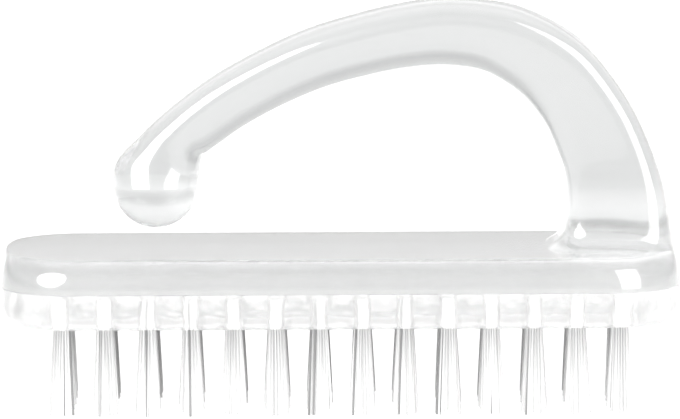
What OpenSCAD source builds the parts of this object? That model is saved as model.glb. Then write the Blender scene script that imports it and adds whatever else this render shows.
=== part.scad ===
// Nail brush: a clear moulding with an arched, ball-ended handle, on a clear plate of stapled tufts.
// Millimetres, +Z up. The origin is on the plane of the bristle tips, under the middle of the block.

/* [Block] */
// Length of the block, end to end
block_length = 95; // [80:0.5:110]
// Width of the block, front to back
block_width = 32; // [29:0.5:40]
// Thickness of the upper moulding, from the joint to its flat top
upper_thickness = 4.7; // [4:0.1:6]
// Thickness of the plate that holds the tufts
plate_thickness = 5.3; // [5.2:0.1:7]
// Radius of the block's corners seen from above
corner_radius = 10; // [8:0.1:12]
// How far the shoulder of the upper moulding leans in from its side
shoulder_lean = 2.4; // [2:0.1:3.2]
// Radius where the shoulder turns into the flat top
crown_round = 1.5; // [0.8:0.1:1.7]
// Radius of the round along the plate's bottom edge
bottom_round = 2.6; // [0.5:0.1:3]

/* [Handle] */
// Height of the handle's top above the block
handle_height = 34.8; // [30:0.1:42]
// Width of the handle at its highest, front to back
handle_width = 11; // [8:0.1:14]
// Radius of the ball at the handle's free end
ball_radius = 6.1; // [4.5:0.1:7]

/* [Tufts] */
// Free length of the bristles below the block
bristle_length = 12.5; // [9:0.25:18]
// Distance from the block's end to the middle of the first tuft
end_margin = 8.5; // [7.5:0.1:11]
// Distance from the block's front to the middle of the first row
side_margin = 5.6; // [5:0.1:6.5]
// Tufts in a row
tufts_per_row = 14; // [8:1:14]
// Rows of tufts
rows = 5; // [3:1:5]
// Diameter of a tuft hole
hole_diameter = 2.5; // [2:0.1:3]
// Depth of a tuft hole
hole_depth = 4.2; // [3.9:0.1:4.6]
// Diameter that a tuft spreads to at its tips
tuft_spread = 3.8; // [2.8:0.1:4.4]
// Strands around the middle one in a tuft
outer_strands = 5; // [3:1:5]
// Thickness of a strand
strand_thickness = 0.68; // [0.3:0.02:0.7]

/* [Anchors] */
// Thickness of the flat wire that anchors a tuft
anchor_thickness = 0.36; // [0.25:0.01:0.5]
// Height of the anchor along the hole
anchor_height = 1.5; // [1:0.05:1.7]
// Height of the anchor's lower edge above the mouth of the hole
anchor_start = 2; // [1.2:0.05:2.1]
// Clearance around the pieces that sit inside another
seat_clearance = 0.02; // [0.01:0.01:0.05]

/* [Backing slice] */
// Thickness of the slice of the plate that a row of tufts stands in
slice_thickness = 0.8; // [0.5:0.1:1.1]
// Width of that slice, front to back
slice_width = 3.4; // [3.2:0.1:4]

/* [Hidden] */
underside = bristle_length;
joint = underside + plate_thickness;
block_top = joint + upper_thickness;
half_length = block_length / 2;
half_width = block_width / 2;
hole_radius = hole_diameter / 2;
tuft_pitch = (block_length - 2 * end_margin) / (tufts_per_row - 1);
row_pitch = (block_width - 2 * side_margin) / (rows - 1);
slice_length = (tufts_per_row - 1) * tuft_pitch + slice_width;
curve_sides = 64;
root_sides = 8;

// The shoulder is a wide arc up from the joint that meets a small one under the flat top
crown_rise = upper_thickness - crown_round;
shoulder_radius = (shoulder_lean * shoulder_lean + crown_rise * crown_rise - crown_round * crown_round)
    / (2 * (shoulder_lean - crown_round));
meeting = crown_rise * shoulder_radius / (shoulder_radius - crown_round);

// The handle's outer and inner edges, seen from the front, from the ball over the arch into the block.
// Along the block they are shares of half its length, and above it shares of the handle's height.
// The first place is the ball's centre, and the ball's radius gives both edges there.
ball_x_share = -0.545;
ball_z_share = 0.253;
outer_x_shares = [-0.669, -0.647, -0.608, -0.561, -0.501, -0.436, -0.356, -0.234, -0.101, 0.032,
    0.166, 0.308, 0.438, 0.541, 0.653, 0.742, 0.812, 0.871, 0.919, 0.955,
    0.976, 0.983, 0.987, 0.989, 0.991, 0.994];
outer_z_shares = [0.319, 0.372, 0.425, 0.488, 0.559, 0.629, 0.702, 0.793, 0.874, 0.93,
    0.974, 1, 0.988, 0.957, 0.884, 0.79, 0.673, 0.544, 0.397, 0.249,
    0.098, 0.045, 0.01, -0.01, -0.032, -0.086];
inner_x_shares = [-0.415, -0.411, -0.407, -0.402, -0.391, -0.354, -0.28, -0.167, -0.04, 0.082,
    0.194, 0.307, 0.413, 0.484, 0.54, 0.581, 0.612, 0.641, 0.661, 0.668,
    0.665, 0.654, 0.635, 0.611, 0.59, 0.59];
inner_z_shares = [0.301, 0.342, 0.368, 0.381, 0.388, 0.425, 0.496, 0.58, 0.653, 0.699,
    0.729, 0.74, 0.721, 0.674, 0.616, 0.55, 0.485, 0.391, 0.313, 0.219,
    0.117, 0.06, 0.025, 0.003, -0.021, -0.074];
// Width front to back, as shares of the width at the top
width_shares = [1.07, 1.02, 0.964, 0.936, 0.927, 0.927, 0.936, 0.945, 0.964, 0.982,
    1, 1, 1.018, 1.045, 1.08, 1.127, 1.18, 1.26, 1.38, 1.55,
    1.8, 1.96, 2.14, 2.29, 2.36, 2.36];
// How far the section leans from an oval to a rounded rectangle
square_shares = [0.02, 0.06, 0.1, 0.14, 0.18, 0.2, 0.2, 0.2, 0.2, 0.2,
    0.2, 0.2, 0.2, 0.2, 0.2, 0.2, 0.2, 0.22, 0.24, 0.26,
    0.28, 0.3, 0.3, 0.3, 0.3, 0.3];
station_count = len(outer_x_shares) + 1;
steps_per_station = 2;
ring_points = 28;
ball_rings = 8;
handle_rings = (station_count - 1) * steps_per_station + 1;

clear_color = [0.93, 0.95, 0.95, 0.7];
nylon_color = [0.96, 0.96, 0.94];
wire_color = [0.78, 0.77, 0.74];

// A smooth curve through a list of values, at a place counted along the list
function clamped(list, i) = list[max(0, min(len(list) - 1, i))];
function blend(a, b, c, d, t) =
    (2 * b + (c - a) * t + (2 * a - 5 * b + 4 * c - d) * t * t + (3 * b - a - 3 * c + d) * t * t * t) / 2;
function smooth(list, place) =
    let (i = min(floor(place), len(list) - 2), t = place - i)
    blend(clamped(list, i - 1), list[i], list[i + 1], clamped(list, i + 2), t);

// The handle's edges, widths and squareness with the ball's own place put first
ball_centre = [half_length * ball_x_share, block_top + handle_height * ball_z_share];
outer_x = concat([ball_centre[0] - ball_radius], half_length * outer_x_shares);
inner_x = concat([ball_centre[0] + ball_radius], half_length * inner_x_shares);
outer_z = concat([ball_centre[1]], [for (share = outer_z_shares) block_top + handle_height * share]);
inner_z = concat([ball_centre[1]], [for (share = inner_z_shares) block_top + handle_height * share]);
half_widths = concat([ball_radius], handle_width / 2 * width_shares);
squareness = concat([0], square_shares);

function squared(value, power) = sign(value) * pow(abs(value), power);
function ring_point(place, turn) =
    let (
        outer = [smooth(outer_x, place), smooth(outer_z, place)],
        inner = [smooth(inner_x, place), smooth(inner_z, place)],
        power = 1 - smooth(squareness, place),
        in_plane = (outer + inner) / 2 + (outer - inner) / 2 * squared(cos(turn), power)
    )
    [in_plane[0], smooth(half_widths, place) * squared(sin(turn), power), in_plane[1]];

// The ball's lower half: rings from just past its pole up to its middle
function ball_point(ring, turn) =
    let (lift = 90 * ring / ball_rings)
    [
        ball_centre[0] - ball_radius * sin(lift) * cos(turn),
        ball_radius * sin(lift) * sin(turn),
        ball_centre[1] - ball_radius * cos(lift)
    ];

// Places in the pattern of tufts
function column_x(column) = (column - (tufts_per_row - 1) / 2) * tuft_pitch;
function row_y(row) = (row - (rows - 1) / 2) * row_pitch;

// Sections through an edge, reaching out along X
module shoulder_section(reach) {
    square([reach - shoulder_lean, upper_thickness]);
    intersection() {
        translate([reach - shoulder_radius, 0])
            circle(r = shoulder_radius, $fn = curve_sides);
        square([reach, meeting]);
    }
    intersection() {
        translate([reach - shoulder_lean, crown_rise])
            circle(r = crown_round, $fn = curve_sides);
        translate([0, meeting])
            square([reach, upper_thickness - meeting]);
    }
}

module plate_section(reach) {
    translate([0, bottom_round])
        square([reach, plate_thickness - bottom_round]);
    square([reach - bottom_round, bottom_round]);
    translate([reach - bottom_round, bottom_round])
        intersection() {
            circle(r = bottom_round, $fn = curve_sides);
            translate([0, -bottom_round])
                square([bottom_round, bottom_round]);
        }
}

// A quarter turn of the section, for one corner
module corner(turn) {
    rotate([0, 0, turn])
        rotate_extrude(angle = 90, $fn = curve_sides)
            children();
}

// A straight run of the section, centred, facing along +X before it is turned
module straight_edge(turn, run, distance) {
    rotate([0, 0, turn])
        translate([distance, run / 2, 0])
            rotate([90, 0, 0])
                linear_extrude(height = run)
                    children();
}

// A rounded slab standing on its own underside, with the section that it is given all the way round
module slab(thickness) {
    inner_x = half_length - corner_radius;
    inner_y = half_width - corner_radius;
    translate([-inner_x, -inner_y, 0])
        cube([2 * inner_x, 2 * inner_y, thickness]);
    straight_edge(0, 2 * inner_y, inner_x)
        children();
    straight_edge(180, 2 * inner_y, inner_x)
        children();
    straight_edge(90, 2 * inner_x, inner_y)
        children();
    straight_edge(270, 2 * inner_x, inner_y)
        children();
    translate([inner_x, inner_y, 0])
        corner(0)
            children();
    translate([-inner_x, inner_y, 0])
        corner(90)
            children();
    translate([-inner_x, -inner_y, 0])
        corner(180)
            children();
    translate([inner_x, -inner_y, 0])
        corner(270)
            children();
}

// Arched handle with its ball end, as one skin of triangles
module handle() {
    all_rings = ball_rings + handle_rings - 1;
    pole = ball_point(0, 0);
    end_outer = ring_point(station_count - 1, 0);
    end_inner = ring_point(station_count - 1, 180);
    points = concat(
        [for (ring = [1 : ball_rings], j = [0 : ring_points - 1]) ball_point(ring, j * 360 / ring_points)],
        [for (ring = [1 : handle_rings - 1], j = [0 : ring_points - 1])
            ring_point(ring / steps_per_station, j * 360 / ring_points)],
        [pole, (end_outer + end_inner) / 2]
    );
    pole_index = all_rings * ring_points;
    end_index = pole_index + 1;
    last = (all_rings - 1) * ring_points;
    faces = concat(
        [for (j = [0 : ring_points - 1]) [pole_index, (j + 1) % ring_points, j]],
        [for (ring = [0 : all_rings - 2], j = [0 : ring_points - 1], half = [0, 1])
            let (
                a = ring * ring_points + j,
                b = ring * ring_points + (j + 1) % ring_points,
                c = a + ring_points,
                d = b + ring_points
            )
            half == 0 ? [a, b, c] : [b, d, c]],
        [for (j = [0 : ring_points - 1]) [end_index, last + j, last + (j + 1) % ring_points]]
    );
    polyhedron(points = points, faces = faces, convexity = 6);
}

// Grooves and blind holes under the plate
module seats() {
    for (row = [0 : rows - 1])
        translate([0, row_y(row), 0]) {
            translate([
                -slice_length / 2 - seat_clearance,
                -slice_width / 2 - seat_clearance,
                underside - slice_thickness
            ])
                cube([slice_length + 2 * seat_clearance, slice_width + 2 * seat_clearance, 2 * slice_thickness]);
            for (column = [0 : tufts_per_row - 1])
                translate([column_x(column), 0, underside])
                    cylinder(r = hole_radius, h = hole_depth, $fn = curve_sides);
        }
}

// One strand, three-sided, from inside the backing slice down to the tips
function strand_ring(place, radius, z, turn) =
    [for (j = [0 : 2]) [place[0] + radius * cos(turn + j * 120), place[1] + radius * sin(turn + j * 120), z]];

module strand(root, tip, turn) {
    radius = strand_thickness / 2;
    polyhedron(
        points = concat(
            strand_ring(tip, radius, 0, turn),
            strand_ring(root, radius, underside + slice_thickness / 2, turn)
        ),
        faces = [[0, 1, 2], [5, 4, 3], [0, 3, 1], [3, 4, 1], [1, 4, 2], [4, 5, 2], [2, 5, 0], [5, 3, 0]]
    );
}

// The folded root that fills a hole, slotted for its anchor
module tuft_root() {
    difference() {
        translate([0, 0, underside + slice_thickness / 2])
            cylinder(r = hole_radius - seat_clearance, h = hole_depth - slice_thickness / 2, $fn = root_sides);
        translate([
            -hole_diameter,
            -anchor_thickness / 2 - seat_clearance,
            underside + anchor_start - seat_clearance
        ])
            cube([2 * hole_diameter, anchor_thickness + 2 * seat_clearance, anchor_height + 2 * seat_clearance]);
    }
}

module tuft(turn) {
    root_ring = hole_radius - strand_thickness / 2 - 2 * seat_clearance;
    tip_ring = tuft_spread / 2 - strand_thickness / 2;
    tuft_root();
    strand([0, 0], [0, 0], turn);
    for (k = [0 : outer_strands - 1])
        let (angle = turn + k * 360 / outer_strands)
            strand(root_ring * [cos(angle), sin(angle)], tip_ring * [cos(angle), sin(angle)], angle);
}

// A row of tufts, fused to the slice of the plate that it stands in
module tuft_row(row) {
    color(nylon_color)
        translate([0, row_y(row), 0]) {
            translate([-slice_length / 2, -slice_width / 2, underside])
                cube([slice_length, slice_width, slice_thickness]);
            for (column = [0 : tufts_per_row - 1])
                translate([column_x(column), 0, 0])
                    tuft(column * 50 + row * 25);
        }
}

// The flat wires sit inside the folds, as wide as the holes let them be
module anchor_row(row) {
    reach = hole_radius - seat_clearance;
    anchor_width = 2 * sqrt(reach * reach - anchor_thickness * anchor_thickness / 4) - seat_clearance;
    color(wire_color)
        for (column = [0 : tufts_per_row - 1])
            translate([
                column_x(column) - anchor_width / 2,
                row_y(row) - anchor_thickness / 2,
                underside + anchor_start
            ])
                cube([anchor_width, anchor_thickness, anchor_height]);
}

module body() {
    color(clear_color) {
        translate([0, 0, joint])
            slab(upper_thickness)
                shoulder_section(corner_radius);
        handle();
    }
}

module tuft_plate() {
    color(clear_color)
        difference() {
            translate([0, 0, underside])
                slab(plate_thickness)
                    plate_section(corner_radius);
            seats();
        }
}

module tufts_row_1() { tuft_row(0); }
module tufts_row_2() { tuft_row(1); }
module tufts_row_3() { tuft_row(2); }
module tufts_row_4() { tuft_row(3); }
module tufts_row_5() { tuft_row(4); }
module anchors_row_1() { anchor_row(0); }
module anchors_row_2() { anchor_row(1); }
module anchors_row_3() { anchor_row(2); }
module anchors_row_4() { anchor_row(3); }
module anchors_row_5() { anchor_row(4); }

body();
tuft_plate();
tufts_row_1();
tufts_row_2();
tufts_row_3();
tufts_row_4();
tufts_row_5();
anchors_row_1();
anchors_row_2();
anchors_row_3();
anchors_row_4();
anchors_row_5();
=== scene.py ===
import math
import random

import bmesh
import bpy
import numpy as np
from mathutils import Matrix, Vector


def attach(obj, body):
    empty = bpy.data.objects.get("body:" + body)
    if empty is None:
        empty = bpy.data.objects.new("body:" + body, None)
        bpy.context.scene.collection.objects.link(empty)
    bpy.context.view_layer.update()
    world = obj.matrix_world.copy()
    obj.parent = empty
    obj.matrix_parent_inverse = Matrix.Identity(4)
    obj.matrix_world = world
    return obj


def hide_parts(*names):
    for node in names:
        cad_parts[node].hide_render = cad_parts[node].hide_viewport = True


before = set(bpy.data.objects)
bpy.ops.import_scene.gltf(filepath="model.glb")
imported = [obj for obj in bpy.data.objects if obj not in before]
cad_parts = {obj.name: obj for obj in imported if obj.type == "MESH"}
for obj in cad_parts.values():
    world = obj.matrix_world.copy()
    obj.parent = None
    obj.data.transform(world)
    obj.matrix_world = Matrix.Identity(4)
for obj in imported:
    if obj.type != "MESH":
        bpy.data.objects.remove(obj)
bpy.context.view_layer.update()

# A millimetre, and a length that counts as none, in metres
MM = 0.001
NEAR = 1e-6

# The block, in millimetres as in the part's source
BLOCK_LENGTH = 95
BLOCK_WIDTH = 32
BLOCK_THICKNESS = 10
UPPER_THICKNESS = 4.7
UNDERSIDE = 12.5
BLOCK_TOP = UNDERSIDE + BLOCK_THICKNESS
JOINT = BLOCK_TOP - UPPER_THICKNESS
CORNER_RADIUS = 10
SHOULDER_LEAN = 2.4
BOTTOM_ROUND = 2.6
CORNER_STEPS = 20
SHOULDER_STEPS = 18
BOTTOM_STEPS = 12

# Small forms that the block's outline and reflections show, and that the solids leave out
# Film of air between the two mouldings, which makes the joint reflect
JOINT_GAP = 0.2
# How much lower the top lies along its long edges than along its middle
CROWN_DROP = 0.16
# Where the crowned top bends: the outermost place across the width, and the step between places
CROWN_REACH = 13
CROWN_STEP = 2
# Share of the shoulder's lean that the block's two ends keep
END_LEAN_SHARE = 0.3
# How far the ends of the top draw in, as a share of the distance from where the bow starts
END_BOW_SHARE = 0.2
END_BOW_START = 2

# The handle. Its edges run from the ball's neck to the foot, with X as shares of half the block's
# length and Z as shares of the handle's height above the block.
HANDLE_HEIGHT = 34.8
HANDLE_WIDTH = 11
BALL_RADIUS = 6.1
BALL_X_SHARE = -0.545
BALL_Z_SHARE = 0.253
OUTER_X_SHARES = [-0.669, -0.647, -0.608, -0.561, -0.501, -0.436, -0.356, -0.234, -0.101, 0.032,
                  0.166, 0.308, 0.438, 0.541, 0.653, 0.742, 0.812, 0.871, 0.919, 0.955,
                  0.976, 0.983, 0.987, 0.989, 0.991, 0.994]
OUTER_Z_SHARES = [0.319, 0.372, 0.425, 0.488, 0.559, 0.629, 0.702, 0.793, 0.874, 0.93,
                  0.974, 1, 0.988, 0.957, 0.884, 0.79, 0.673, 0.544, 0.397, 0.249,
                  0.098, 0.045, 0.01, -0.01, -0.032, -0.086]
INNER_X_SHARES = [-0.415, -0.411, -0.407, -0.402, -0.391, -0.354, -0.28, -0.167, -0.04, 0.082,
                  0.194, 0.307, 0.413, 0.484, 0.54, 0.581, 0.612, 0.641, 0.661, 0.668,
                  0.665, 0.654, 0.635, 0.611, 0.59, 0.59]
INNER_Z_SHARES = [0.301, 0.342, 0.368, 0.381, 0.388, 0.425, 0.496, 0.58, 0.653, 0.699,
                  0.729, 0.74, 0.721, 0.674, 0.616, 0.55, 0.485, 0.391, 0.313, 0.219,
                  0.117, 0.06, 0.025, 0.003, -0.021, -0.074]
# The widths front to back at the same places, as shares of the width at the top
WIDTH_SHARES = [0.99, 0.93, 0.9, 0.89, 0.89, 0.9, 0.92, 0.94, 0.962, 0.982,
                1, 1, 1.018, 1.04, 1.06, 1.08, 1.1, 1.13, 1.17, 1.24, 1.34,
                1.43, 1.6, 1.85, 2.1, 2.2]
# How square the section is on its outer and its inner side, the ball's own place first: 0 is round
OUTER_SQUARE_SHARES = [0.05, 0.08, 0.14, 0.2, 0.26, 0.32, 0.36, 0.38, 0.4, 0.4, 0.4,
                       0.42, 0.44, 0.46, 0.5, 0.54, 0.58, 0.6, 0.62, 0.62, 0.6,
                       0.56, 0.5, 0.44, 0.4, 0.4, 0.4]
INNER_SQUARE_SHARES = [0.05, 0.08, 0.16, 0.26, 0.36, 0.46, 0.52, 0.56, 0.58, 0.6, 0.62,
                       0.62, 0.62, 0.63, 0.64, 0.65, 0.66, 0.67, 0.68, 0.7, 0.68,
                       0.62, 0.56, 0.5, 0.45, 0.42, 0.4]
HANDLE_SIDES = 96
RINGS_PER_STATION = 8
BALL_STEP_DEGREES = 3

# The tuft holes and the anchors in them
TUFT_PITCH = 6
ROW_PITCH = 5.2
COLUMNS = 14
ROWS = 5
HOLE_RADIUS = 1.25
HOLE_DEPTH = 4.2
HOLE_SIDES = 32
ANCHOR_START = 2
ANCHOR_HEIGHT = 1.5
ANCHOR_TOP = UNDERSIDE + ANCHOR_START + ANCHOR_HEIGHT

# The filaments
FILAMENT_RADIUS = 0.15
FILAMENT_SIDES = 6
TUFT_SPREAD = 3.8
# Distances of the lanes of filaments from the anchor, on each side of it
LANES = (0.34, 0.64, 0.94)
# Room between two filaments, between them and the hole, and between them and the anchor
FILAMENT_ROOM = 0.02
WALL_ROOM = 0.03
FOLD_ROOM = 0.12
# Largest rise of the fold over the anchor
FOLD_RISE = 0.35
FOLD_STEP_DEGREES = 30
# Where the path has its points, as shares of the free length and of the length inside the hole
LEG_SHARES = (0, 0.12, 0.3, 0.5, 0.7, 0.85, 1)
HOLE_SHARES = (0.35, 0.75)
# Above 1, a filament spreads faster near its hole than near its tip
SPREAD_POWER = 1.15
# Scatter of the tips in a tuft, of whole tufts, and of the trimmed length
TIP_SCATTER = 0.13
LEAN_SCATTER = 0.1
TRIM_SCATTER = 0.12
# Least height of a tip over the plane of the tips, as a share of the filament's radius
TIP_LIFT_SHARE = 0.1
# Seed of the first row's scatter
FIRST_SEED = 40
# A direction that no part of a filament runs exactly along
OFF_DIRECTION = (0.13, 0.99, 0.02)

# How near a point counts as on the ball's equator
EQUATOR_ROOM = 0.01
# Edges sharper than these, in degrees, stay sharp
MOULDING_SHARP_DEGREES = 38
FILAMENT_SHARP_DEGREES = 75


def clear_selection():
    if bpy.context.object and bpy.context.object.mode != "OBJECT":
        bpy.ops.object.mode_set(mode="OBJECT")
    bpy.ops.object.select_all(action="DESELECT")


def activate(piece):
    clear_selection()
    piece.select_set(True)
    bpy.context.view_layer.objects.active = piece


def apply_modifier(piece, kind, **settings):
    activate(piece)
    modifier = piece.modifiers.new(kind.title(), kind)
    for name, value in settings.items():
        setattr(modifier, name, value)
    bpy.ops.object.modifier_apply(modifier=modifier.name)


def select_edges(piece, test):
    """Selects the edges whose two ends pass the test, and leaves the piece in edit mode."""
    bpy.ops.object.mode_set(mode="OBJECT")
    for part in (*piece.data.vertices, *piece.data.edges, *piece.data.polygons):
        part.select = False
    for edge in piece.data.edges:
        a, b = (piece.data.vertices[i].co for i in edge.vertices)
        edge.select = test(a, b)
    bpy.ops.object.mode_set(mode="EDIT")


def smooth_list(values, places):
    """A smooth curve through the values, read at places counted along the list."""
    v = np.array(values, float)
    i = np.minimum(np.floor(places).astype(int), len(v) - 2)
    t = places - i
    a, b, c, d = v[np.maximum(i - 1, 0)], v[i], v[i + 1], v[np.minimum(i + 2, len(v) - 1)]
    return (2 * b + (c - a) * t + (2 * a - 5 * b + 4 * c - d) * t**2 + (3 * b - a - 3 * c + d) * t**3) / 2


def ring_quads(rings, sides):
    """The quads between rings of points that follow one another."""
    quads = []
    for ring in range(rings - 1):
        for side in range(sides):
            after = (side + 1) % sides
            quads.append((ring * sides + side, ring * sides + after,
                          (ring + 1) * sides + after, (ring + 1) * sides + side))
    return quads


def link_piece(name, mesh):
    piece = bpy.data.objects.new(name, mesh)
    bpy.context.collection.objects.link(piece)
    return piece


def make_piece(name, points, faces):
    """A new object from points in millimetres and faces, with all faces turned outwards."""
    mesh = bpy.data.meshes.new(name)
    mesh.from_pydata([tuple(point) for point in np.array(points) * MM], [], faces)
    piece = link_piece(name, mesh)
    activate(piece)
    bpy.ops.object.mode_set(mode="EDIT")
    bpy.ops.mesh.select_all(action="SELECT")
    bpy.ops.mesh.normals_make_consistent(inside=False)
    bpy.ops.object.mode_set(mode="OBJECT")
    return piece


def tuft_place(row, column):
    """The middle of a tuft hole, in millimetres."""
    return (column - (COLUMNS - 1) / 2) * TUFT_PITCH, (row - (ROWS - 1) / 2) * ROW_PITCH, 0


def make_block():
    """The whole block: round corners, a shoulder down to the joint, a crowned top and a round underside."""
    clear_selection()
    bpy.ops.mesh.primitive_cube_add(size=1, location=(0, 0, (UNDERSIDE + BLOCK_THICKNESS / 2) * MM))
    block = bpy.context.object
    block.scale = (BLOCK_LENGTH * MM, BLOCK_WIDTH * MM, BLOCK_THICKNESS * MM)
    bpy.ops.object.transform_apply(location=True, scale=True)
    top = BLOCK_TOP * MM
    bottom = UNDERSIDE * MM
    bpy.ops.object.mode_set(mode="EDIT")
    bpy.ops.mesh.select_mode(type="EDGE")
    select_edges(block, lambda a, b: abs(a.z - b.z) > NEAR)
    bpy.ops.mesh.bevel(offset=CORNER_RADIUS * MM, segments=CORNER_STEPS, profile=0.5)
    select_edges(block, lambda a, b: abs(a.z - top) < NEAR and abs(b.z - top) < NEAR)
    bpy.ops.mesh.bevel(offset=SHOULDER_LEAN * MM, segments=SHOULDER_STEPS, profile=0.5)
    select_edges(block, lambda a, b: abs(a.z - bottom) < NEAR and abs(b.z - bottom) < NEAR)
    bpy.ops.mesh.bevel(offset=BOTTOM_ROUND * MM, segments=BOTTOM_STEPS, profile=0.5)
    for bend in range(-CROWN_REACH, CROWN_REACH + 1, CROWN_STEP):
        bpy.ops.mesh.select_all(action="SELECT")
        bpy.ops.mesh.bisect(plane_co=(0, bend * MM, 0), plane_no=(0, 1, 0))
    bpy.ops.object.mode_set(mode="OBJECT")
    for vert in block.data.vertices:
        down = (top - vert.co.z) / (SHOULDER_LEAN * MM)
        if down < 1 + NEAR:
            inset = SHOULDER_LEAN * (1 - math.sqrt(max(1 - (1 - down) ** 2, 0)))
            vert.co.x *= (BLOCK_LENGTH / 2 - END_LEAN_SHARE * inset) / (BLOCK_LENGTH / 2 - inset)
            from_start = max(abs(vert.co.y) - END_BOW_START * MM, 0)
            vert.co.x -= math.copysign(END_BOW_SHARE * inset / SHOULDER_LEAN * from_start, vert.co.x)
            drop = CROWN_DROP * (2 * vert.co.y / (BLOCK_WIDTH * MM)) ** 2 * (1 - down)
            vert.co.z = top - (down * UPPER_THICKNESS + drop) * MM
    return block


def make_handle():
    """The arched handle as rings round its measured edges, closed by the ball."""
    half_length = BLOCK_LENGTH / 2
    ball_x = half_length * BALL_X_SHARE
    ball_z = BLOCK_TOP + HANDLE_HEIGHT * BALL_Z_SHARE
    outer_x = [ball_x - BALL_RADIUS] + [half_length * share for share in OUTER_X_SHARES]
    inner_x = [ball_x + BALL_RADIUS] + [half_length * share for share in INNER_X_SHARES]
    outer_z = [ball_z] + [BLOCK_TOP + HANDLE_HEIGHT * share for share in OUTER_Z_SHARES]
    inner_z = [ball_z] + [BLOCK_TOP + HANDLE_HEIGHT * share for share in INNER_Z_SHARES]
    half_widths = [BALL_RADIUS] + [HANDLE_WIDTH / 2 * share for share in WIDTH_SHARES]
    stations = len(outer_x) - 1
    places = np.linspace(0, stations, stations * RINGS_PER_STATION + 1)

    def along(values):
        return smooth_list(values, places)[:, None]

    tallest = along(outer_z).max() - BLOCK_TOP
    outer_z = [BLOCK_TOP + (z - BLOCK_TOP) * HANDLE_HEIGHT / tallest for z in outer_z]
    inner_z = [BLOCK_TOP + (z - BLOCK_TOP) * HANDLE_HEIGHT / tallest for z in inner_z]

    turn = np.linspace(0, 2 * np.pi, HANDLE_SIDES, endpoint=False)
    power = 1 - np.where(np.cos(turn) > 0, along(OUTER_SQUARE_SHARES), along(INNER_SQUARE_SHARES))
    across = np.sign(np.cos(turn)) * np.abs(np.cos(turn)) ** power
    aside = np.sign(np.sin(turn)) * np.abs(np.sin(turn)) ** power
    x = (along(outer_x) + along(inner_x)) / 2 + (along(outer_x) - along(inner_x)) / 2 * across
    z = (along(outer_z) + along(inner_z)) / 2 + (along(outer_z) - along(inner_z)) / 2 * across
    arch = np.stack([x, along(half_widths) * aside, z], 2)

    lift = np.radians(np.arange(BALL_STEP_DEGREES, 90, BALL_STEP_DEGREES))[:, None]
    lower_ball = np.stack([ball_x - BALL_RADIUS * np.sin(lift) * across[0],
                           BALL_RADIUS * np.sin(lift) * aside[0],
                           ball_z - BALL_RADIUS * np.cos(lift) * np.ones_like(turn)], 2)
    rings = np.concatenate([lower_ball, arch])
    count = len(rings)
    points = [*rings.reshape(-1, 3), (ball_x, 0, ball_z - BALL_RADIUS)]
    faces = ring_quads(count, HANDLE_SIDES)
    for side in range(HANDLE_SIDES):
        faces.append((count * HANDLE_SIDES, (side + 1) % HANDLE_SIDES, side))
    faces.append(tuple((count - 1) * HANDLE_SIDES + side for side in range(HANDLE_SIDES)))
    return make_piece("handle", points, faces)


def make_holes():
    """The blind tuft holes, as one cutter of separate round plugs."""
    clear_selection()
    bpy.ops.mesh.primitive_cylinder_add(vertices=HOLE_SIDES, radius=HOLE_RADIUS * MM,
                                        depth=2 * HOLE_DEPTH * MM, location=(0, 0, UNDERSIDE * MM))
    first = bpy.context.object
    bpy.ops.object.transform_apply(location=True)
    cutter = bmesh.new()
    for row in range(ROWS):
        for column in range(COLUMNS):
            start = len(cutter.verts)
            cutter.from_mesh(first.data)
            cutter.verts.ensure_lookup_table()
            shift = Vector(tuft_place(row, column)) * MM
            for vert in cutter.verts[start:]:
                vert.co += shift
    mesh = bpy.data.meshes.new("holes")
    cutter.to_mesh(mesh)
    cutter.free()
    bpy.data.objects.remove(first)
    return link_piece("holes", mesh)


def cut_level(piece, height, keep_above):
    """Cuts the piece level at a height in millimetres and closes it there."""
    activate(piece)
    bpy.ops.object.mode_set(mode="EDIT")
    bpy.ops.mesh.select_all(action="SELECT")
    bpy.ops.mesh.bisect(plane_co=(0, 0, height * MM), plane_no=(0, 0, 1), use_fill=True,
                        clear_inner=keep_above, clear_outer=not keep_above)
    bpy.ops.object.mode_set(mode="OBJECT")


def on_equator(point):
    """True on the crease round the ball, where the neck rises from its lower half."""
    equator = BLOCK_TOP + HANDLE_HEIGHT * BALL_Z_SHARE
    return point.x < 0 and abs(point.z - equator * MM) < EQUATOR_ROOM * MM


def make_mouldings():
    """The handle moulding and the tuft plate, with a thin film of air between them."""
    upper, plate = make_block(), make_block()
    cut_level(upper, JOINT + JOINT_GAP / 2, True)
    cut_level(plate, JOINT - JOINT_GAP / 2, False)
    handle, holes = make_handle(), make_holes()
    apply_modifier(upper, "BOOLEAN", operation="UNION", object=handle, solver="EXACT")
    apply_modifier(plate, "BOOLEAN", operation="DIFFERENCE", object=holes, solver="EXACT")
    bpy.data.objects.remove(handle)
    bpy.data.objects.remove(holes)
    upper.name = "handle_moulding"
    plate.name = "tuft_plate_moulding"
    for piece in (upper, plate):
        activate(piece)
        bpy.ops.object.shade_smooth_by_angle(angle=math.radians(MOULDING_SHARP_DEGREES))
        select_edges(piece, lambda a, b: on_equator(a) and on_equator(b))
        bpy.ops.mesh.mark_sharp()
        bpy.ops.object.mode_set(mode="OBJECT")
        apply_modifier(piece, "WEIGHTED_NORMAL", mode="FACE_AREA", weight=100, keep_sharp=True)
    return upper, plate


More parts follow.
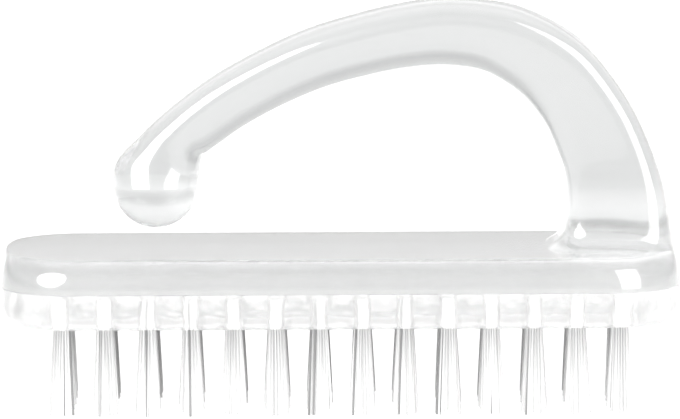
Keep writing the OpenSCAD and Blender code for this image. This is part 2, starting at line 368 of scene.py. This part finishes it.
def tube(path, radius, sides):
    """Rings round a path, as points and faces, closed at both ends."""
    path = np.array(path)
    ahead = np.gradient(path, axis=0)
    ahead /= np.linalg.norm(ahead, axis=1)[:, None]
    side = np.cross(ahead, OFF_DIRECTION)
    side /= np.linalg.norm(side, axis=1)[:, None]
    other = np.cross(ahead, side)
    turn = np.linspace(0, 2 * np.pi, sides, endpoint=False)[None, :, None]
    rings = path[:, None] + radius * (np.cos(turn) * side[:, None] + np.sin(turn) * other[:, None])
    faces = ring_quads(len(path), sides)
    faces.append(tuple(range(sides))[::-1])
    faces.append(tuple((len(path) - 1) * sides + corner for corner in range(sides)))
    return rings.reshape(-1, 3), faces


def folded_filament(chance, place, lean):
    """One filament from tip to tip, folded over the anchor at the blind end of its hole."""
    x, y = place
    spread = TUFT_SPREAD / 2 / HOLE_RADIUS
    furthest = TUFT_SPREAD / 2 - FILAMENT_RADIUS
    legs = []
    for side in (-1, 1):
        tip_x = x * spread + chance.gauss(0, TIP_SCATTER) + lean[0]
        tip_y = side * y * spread + chance.gauss(0, TIP_SCATTER) + lean[1]
        reach = math.hypot(tip_x, tip_y)
        if reach > furthest:
            tip_x *= furthest / reach
            tip_y *= furthest / reach
        tip_z = FILAMENT_RADIUS * TIP_LIFT_SHARE + abs(chance.gauss(0, TRIM_SCATTER))
        leg = []
        for share in LEG_SHARES:
            out = 1 - (1 - share) ** SPREAD_POWER
            leg.append((x + (tip_x - x) * out,
                        side * y + (tip_y - side * y) * out,
                        UNDERSIDE + (tip_z - UNDERSIDE) * share))
        legs.append(leg)
    rise = ANCHOR_TOP + FOLD_ROOM + FILAMENT_RADIUS - UNDERSIDE
    fold = []
    for angle in range(-90, 91, FOLD_STEP_DEGREES):
        turned = math.radians(angle)
        fold.append((x, y * math.sin(turned), UNDERSIDE + rise + min(y, FOLD_RISE) * math.cos(turned)))
    inwards = [(x, -y, UNDERSIDE + rise * share) for share in HOLE_SHARES]
    outwards = [(x, y, UNDERSIDE + rise * share) for share in HOLE_SHARES[::-1]]
    return legs[0][::-1] + inwards + fold + outwards + legs[1]


def filament_places():
    """Where the filaments of a tuft stand in their hole, on one side of the anchor."""
    places = []
    packed = HOLE_RADIUS - FILAMENT_RADIUS - WALL_ROOM
    for y in LANES:
        reach = math.sqrt(packed**2 - y**2)
        steps = int(2 * reach / (2 * FILAMENT_RADIUS + FILAMENT_ROOM))
        for step in range(steps + 1):
            places.append((-reach + 2 * reach * step / steps, y))
    return places


def make_tuft_row(row):
    """The tufts of one row as one mesh, with a random tone kept on each filament."""
    chance = random.Random(FIRST_SEED + row)
    points, faces, tones = [], [], []
    for column in range(COLUMNS):
        lean = (chance.gauss(0, LEAN_SCATTER), chance.gauss(0, LEAN_SCATTER))
        for place in filament_places():
            path = folded_filament(chance, place, lean)
            rings, around = tube(path, FILAMENT_RADIUS, FILAMENT_SIDES)
            faces += [tuple(corner + len(tones) for corner in face) for face in around]
            points.append(rings + tuft_place(row, column))
            tones += [chance.random()] * len(rings)
    tufts = make_piece(f"tufts_{row + 1}", np.concatenate(points), faces)
    tufts.data.attributes.new("tone", "FLOAT", "POINT").data.foreach_set("value", tones)
    bpy.ops.object.shade_smooth_by_angle(angle=math.radians(FILAMENT_SHARP_DEGREES))
    return tufts


def linear(hex_value):
    """The linear colour of an sRGB colour in hex."""
    channels = []
    for start in (0, 2, 4):
        c = int(hex_value[start:start + 2], 16) / 255
        channels.append(c / 12.92 if c <= 0.04045 else ((c + 0.055) / 1.055) ** 2.4)
    return (*channels, 1)


def new_material(name, values):
    """A material with these values on its shader's own sockets."""
    material = bpy.data.materials.new(name)
    material.use_nodes = True
    shader = material.node_tree.nodes["Principled BSDF"]
    for socket, value in values.items():
        shader.inputs[socket].default_value = value
    return material, material.node_tree, shader


def add_node(tree, kind, inputs=None, links=None, stops=(), **settings):
    """Adds a node with its settings, values and links, and a ramp's stops from low to high."""
    node = tree.nodes.new(kind)
    for name, value in settings.items():
        setattr(node, name, value)
    for name, value in (inputs or {}).items():
        node.inputs[name].default_value = value
    for name, source in (links or {}).items():
        tree.links.new(source, node.inputs[name])
    for _ in stops[2:]:
        node.color_ramp.elements.new(1)
    for number, (position, colour) in enumerate(stops):
        node.color_ramp.elements[number].position = position
        node.color_ramp.elements[number].color = colour
    return node


def let_lamps_through(tree, shader, tint):
    """Light from the lamps passes the surface instead of stopping at it, tinted a little on its way."""
    rays = add_node(tree, "ShaderNodeLightPath")
    passing = add_node(tree, "ShaderNodeBsdfTransparent", {"Color": tint})
    mix = add_node(tree, "ShaderNodeMixShader", links={
        0: rays.outputs["Is Shadow Ray"], 1: shader.outputs["BSDF"], 2: passing.outputs["BSDF"]})
    tree.links.new(mix.outputs["Shader"], tree.nodes["Material Output"].inputs["Surface"])


# Heights above the block, in millimetres: where its colour has turned into the handle's, and where the
# handle's lighter lower colour, which is painted light, starts to turn and has turned into its darker upper
# one
TINT_AND_SHADE_TURNED = 1.5
HANDLE_TINT_AND_LIGHT_START = 6
HANDLE_TINT_AND_LIGHT_END = 9


def clear_acrylic(name, clearness, block_tints_and_shade, handle_tints_and_light, wave_length, wave_height):
    """Clear acrylic, coloured from front to back through the block and by height through the handle; where
    these colours change, they are painted shade and painted light.
    """
    # To the eye: clear, thick plastic. A hard smooth coat mirrors the lamps sharply, the softer
    # inside blurs what shows through it, and slow waves, as a thick moulding has, bend it a little.
    material, tree, shader = new_material(name, {
        "Transmission Weight": clearness, "IOR": 1.49, "Roughness": 0.22,
        "Coat Weight": 1, "Coat Roughness": 0.02, "Coat IOR": 1.55})
    let_lamps_through(tree, shader, (0.92, 0.92, 0.92, 1))
    place = add_node(tree, "ShaderNodeTexCoord")
    axes = add_node(tree, "ShaderNodeSeparateXYZ", links={"Vector": place.outputs["Object"]})
    depth = add_node(tree, "ShaderNodeMapRange",
                     {"From Min": -BLOCK_WIDTH / 2 * MM, "From Max": BLOCK_WIDTH / 2 * MM},
                     {"Value": axes.outputs["Y"]})
    # The colour across the block from front to back; on the upper moulding it is painted shade, darker
    # towards the back
    block_ramp = add_node(tree, "ShaderNodeValToRGB", links={"Fac": depth.outputs["Result"]},
                          stops=[(share, linear(tint)) for share, tint in block_tints_and_shade])
    height = add_node(tree, "ShaderNodeMapRange",
                      {"From Min": (BLOCK_TOP + HANDLE_TINT_AND_LIGHT_START) * MM,
                       "From Max": (BLOCK_TOP + HANDLE_TINT_AND_LIGHT_END) * MM},
                      {"Value": axes.outputs["Z"]})
    # The colour up the handle; on the upper moulding it is painted light, lighter low down than higher up
    handle_ramp = add_node(tree, "ShaderNodeValToRGB", links={"Fac": height.outputs["Result"]},
                           stops=[(share, linear(tint)) for share, tint in enumerate(handle_tints_and_light)])
    above = add_node(tree, "ShaderNodeMapRange",
                     {"From Min": BLOCK_TOP * MM, "From Max": (BLOCK_TOP + TINT_AND_SHADE_TURNED) * MM},
                     {"Value": axes.outputs["Z"]})
    tints_shade_and_light = add_node(tree, "ShaderNodeMix", data_type="RGBA")
    for socket, source in ((0, above.outputs["Result"]), (6, block_ramp.outputs["Color"]),
                           (7, handle_ramp.outputs["Color"])):
        tree.links.new(source, tints_shade_and_light.inputs[socket])
    tree.links.new(tints_shade_and_light.outputs[2], shader.inputs["Base Color"])
    waves = add_node(tree, "ShaderNodeTexNoise",
                     {"Scale": 1 / (wave_length * MM), "Detail": 1, "Roughness": 0.4},
                     {"Vector": place.outputs["Object"]})
    bump = add_node(tree, "ShaderNodeBump", {"Strength": 0.12, "Distance": wave_height * MM},
                    {"Height": waves.outputs["Fac"]})
    tree.links.new(bump.outputs["Normal"], shader.inputs["Normal"])
    return material


# Heights, in millimetres, between which the tufts darken towards their holes, a painted shade under the
# block, and clear inside them
SHADE_START = 4.5
SHADE_END = 12.9


def nylon_filament():
    """Extruded clear nylon, in a tone of its own on each filament, with painted dark reflections on a few
    filaments and painted shade at the roots.
    """
    # To the eye: fine translucent bristle. Most filaments are near white, about one in twenty is painted
    # dark, a painted dark reflection between them, and the roots are painted greyer than the open tips, as
    # shade under the block.
    material, tree, shader = new_material(
        "extruded_clear_nylon", {"Transmission Weight": 0.3, "IOR": 1.53, "Roughness": 0.2})
    tone = add_node(tree, "ShaderNodeAttribute", attribute_name="tone")
    # Each filament's own random tone, near white to light grey; the darkest one in twenty is a painted dark
    # reflection
    own = add_node(tree, "ShaderNodeValToRGB", links={"Fac": tone.outputs["Fac"]}, stops=[
        (0, linear("F2F2F2")), (0.95, linear("D4D4D4")), (0.96, linear("989898"))])
    place = add_node(tree, "ShaderNodeTexCoord")
    axes = add_node(tree, "ShaderNodeSeparateXYZ", links={"Vector": place.outputs["Object"]})
    height = add_node(tree, "ShaderNodeMapRange",
                      {"From Min": SHADE_START * MM, "From Max": SHADE_END * MM},
                      {"Value": axes.outputs["Z"]})
    # Painted shade: the filaments greyer just below the block than at their tips, and white inside the holes
    packed = add_node(tree, "ShaderNodeValToRGB", links={"Fac": height.outputs["Result"]}, stops=[
        (0, linear("F0F0F0")), (0.92, linear("D2D2D2")), (1, linear("FFFFFF"))])
    shade = add_node(tree, "ShaderNodeMix", {"Factor": 1}, data_type="RGBA", blend_type="MULTIPLY")
    tree.links.new(own.outputs["Color"], shade.inputs[6])
    tree.links.new(packed.outputs["Color"], shade.inputs[7])
    tree.links.new(shade.outputs[2], shader.inputs["Base Color"])
    let_lamps_through(tree, shader, (1, 1, 1, 1))
    return material


# Length of the wire's grain, in millimetres, and how much it is drawn out along the wire
GRAIN = 0.12
GRAIN_DRAW_SHARE = 0.15


def drawn_steel_wire():
    """Flat drawn stainless wire."""
    # To the eye: small satin grey bars, with the fine lengthwise grain that a drawing die leaves.
    material, tree, shader = new_material(
        "flat_drawn_stainless_wire", {"Metallic": 1, "Base Color": linear("DEDDD9")})
    place = add_node(tree, "ShaderNodeTexCoord")
    drawn = add_node(tree, "ShaderNodeMapping", {"Scale": (GRAIN_DRAW_SHARE, 1, 1)},
                     {"Vector": place.outputs["Object"]})
    grain = add_node(tree, "ShaderNodeTexNoise", {"Scale": 1 / (GRAIN * MM), "Detail": 2},
                     {"Vector": drawn.outputs["Vector"]})
    dullness = add_node(tree, "ShaderNodeMapRange", {"To Min": 0.22, "To Max": 0.42},
                        {"Value": grain.outputs["Fac"]})
    tree.links.new(dullness.outputs["Result"], shader.inputs["Roughness"])
    return material


# The two mouldings. The upper one's colour darkens from the front of the block towards its back: painted
# shade, for the way its top looks darker towards the far edge.
handle_acrylic = clear_acrylic(
    "moulded_clear_acrylic", clearness=0.95,
    # Painted shade and light: the block darker towards its back, with a darkest band near the back edge, and
    # the handle lighter low down than higher up
    block_tints_and_shade=[(0.02, "E8E8E8"), (0.14, "D6D7D7"), (0.5, "C8C9C9"), (0.875, "90918F"), (0.96, "B8B9B9")],
    handle_tints_and_light=("DEDFDF", "C8C9C9"), wave_length=14, wave_height=0.3)
plate_acrylic = clear_acrylic(
    "moulded_clear_acrylic_of_the_plate", clearness=0.93,
    block_tints_and_shade=[(0, "F2F2F2"), (1, "F6F6F6")],
    handle_tints_and_light=("F6F6F6", "F6F6F6"), wave_length=3.2, wave_height=4)
upper_piece, plate_piece = make_mouldings()
mouldings = ((upper_piece, "body", handle_acrylic), (plate_piece, "tuft_plate", plate_acrylic))
for piece, node, acrylic in mouldings:
    piece.data.materials.append(acrylic)
    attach(piece, "root")
    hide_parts(node)

nylon = nylon_filament()
for row in range(ROWS):
    tufts = make_tuft_row(row)
    tufts.data.materials.append(nylon)
    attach(tufts, "root")
    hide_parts(f"tufts_row_{row + 1}")

wire = drawn_steel_wire()
for row in range(ROWS):
    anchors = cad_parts[f"anchors_row_{row + 1}"]
    for slot in anchors.material_slots:
        slot.material = wire

# The floor, which glows white and fills the whole picture. It is a little brighter away from the brush; its
# dimmer glow near the brush is a painted shadow.
FLOOR_SIZE = 12
FLOOR_DROP = 0.2
NEAR_GLOW = 1.0
FAR_GLOW = 1.12
NEAR_REACH = 60
FAR_REACH = 300
clear_selection()
bpy.ops.mesh.primitive_plane_add(size=FLOOR_SIZE, location=(0, 0, -FLOOR_DROP * MM))
floor = bpy.context.object
floor.name = "floor"
floor_material, floor_tree, floor_shader = new_material("white_floor", {
    "Base Color": (0.08, 0.08, 0.08, 1), "Roughness": 0.9, "Specular IOR Level": 0.1,
    "Emission Color": (1, 1, 1, 1)})
floor_place = add_node(floor_tree, "ShaderNodeTexCoord")
floor_reach = add_node(floor_tree, "ShaderNodeVectorMath",
                       links={0: floor_place.outputs["Object"]}, operation="LENGTH")
floor_glow = add_node(floor_tree, "ShaderNodeMapRange",
                      {"From Min": NEAR_REACH * MM, "From Max": FAR_REACH * MM,
                       "To Min": NEAR_GLOW, "To Max": FAR_GLOW},
                      {"Value": floor_reach.outputs["Value"]})
floor_tree.links.new(floor_glow.outputs["Result"], floor_shader.inputs["Emission Strength"])
floor.data.materials.append(floor_material)

# The world, which the plastic mirrors and bends but the camera never sees. It is brighter behind the
# brush than in front of it, grey low over the horizon, which the block's top mirrors, and brightest
# overhead, which lightens the shoulder's upper edge and the handle's foot.
FRONT_GLOW = 0.95
BACK_GLOW = 1.22
GLOW_START = -0.35
GLOW_END = 0.1
OVERHEAD = (1.6, 1.6, 1.6, 1)
world = bpy.data.worlds.new("studio")
bpy.context.scene.world = world
world.use_nodes = True
sky = world.node_tree
direction = add_node(sky, "ShaderNodeTexCoord")
sky_axes = add_node(sky, "ShaderNodeSeparateXYZ", links={"Vector": direction.outputs["Generated"]})
sky_glow = add_node(sky, "ShaderNodeMapRange",
                    {"From Min": GLOW_START, "From Max": GLOW_END, "To Min": FRONT_GLOW, "To Max": BACK_GLOW},
                    {"Value": sky_axes.outputs["Y"]}, interpolation_type="SMOOTHSTEP")
sky_colour = add_node(sky, "ShaderNodeValToRGB", links={"Fac": sky_axes.outputs["Z"]}, stops=[
    (0, linear("E4E4E4")), (0.04, linear("E4E4E4")), (0.096, linear("CCCCCC")), (0.192, linear("E2E2E2")),
    (0.272, linear("FFFFFF")), (0.75, linear("FFFFFF")), (0.93, OVERHEAD), (1, OVERHEAD)])
sky.links.new(sky_glow.outputs["Result"], sky.nodes["Background"].inputs["Strength"])
sky.links.new(sky_colour.outputs["Color"], sky.nodes["Background"].inputs["Color"])

# The lamps stand at one distance from a point a little above the block, and face it. Lengths are in
# metres, powers in watts and angles in degrees.
LAMP_DISTANCE = 1
LAMP_AIM = Vector((0, 0, 0.03))


def softbox(name, shape, azimuth, elevation, width, height, power):
    """A lamp that the plastic mirrors, but that isn't seen through it."""
    clear_selection()
    turned = math.radians(azimuth)
    raised = math.radians(elevation)
    towards = Vector((math.sin(turned) * math.cos(raised),
                      -math.cos(turned) * math.cos(raised),
                      math.sin(raised)))
    place = towards * LAMP_DISTANCE + LAMP_AIM
    bpy.ops.object.light_add(type="AREA", location=place)
    light = bpy.context.object
    light.name = name
    light.data.shape = shape
    light.data.size = width
    light.data.size_y = height
    light.data.energy = power
    light.rotation_euler = (LAMP_AIM - place).to_track_quat("-Z", "Y").to_euler()
    light.visible_transmission = False


softbox("softbox_left", "ELLIPSE", azimuth=-40, elevation=25, width=0.84, height=0.66, power=10)
softbox("softbox_right", "RECTANGLE", azimuth=38, elevation=21, width=0.6, height=0.9, power=8)

# The camera, as the photograph was taken: angles in degrees, distance in metres, aim in millimetres
ELEVATION = 8
ROLL = 0.3
DISTANCE = 1.6
AIM = (-0.04, 0, 27.5)
PIXELS_PER_MM = 7.12
PHOTO_WIDTH = 680
SENSOR_WIDTH = 36
camera_data = bpy.data.cameras.new("camera")
camera = bpy.data.objects.new("camera", camera_data)
bpy.context.collection.objects.link(camera)
raised = math.radians(ELEVATION)
back = Vector((0, -math.cos(raised), math.sin(raised)))
camera.location = Vector(AIM) * MM + back * DISTANCE
camera.rotation_euler = (-back).to_track_quat("-Z", "Y").to_euler()
camera.rotation_euler.rotate_axis("Z", math.radians(-ROLL))
camera_data.sensor_width = SENSOR_WIDTH
camera_data.lens = SENSOR_WIDTH * PIXELS_PER_MM * DISTANCE / MM / PHOTO_WIDTH
bpy.context.scene.camera = camera
bpy.context.scene.view_settings.view_transform = "Standard"

# Light crosses many surfaces in the tufts and their holes before it reaches the camera
THROUGH_BOUNCES = 24
OTHER_BOUNCES = 16
cycles = bpy.context.scene.cycles
cycles.max_bounces = THROUGH_BOUNCES
cycles.transmission_bounces = THROUGH_BOUNCES
cycles.glossy_bounces = OTHER_BOUNCES
cycles.diffuse_bounces = OTHER_BOUNCES
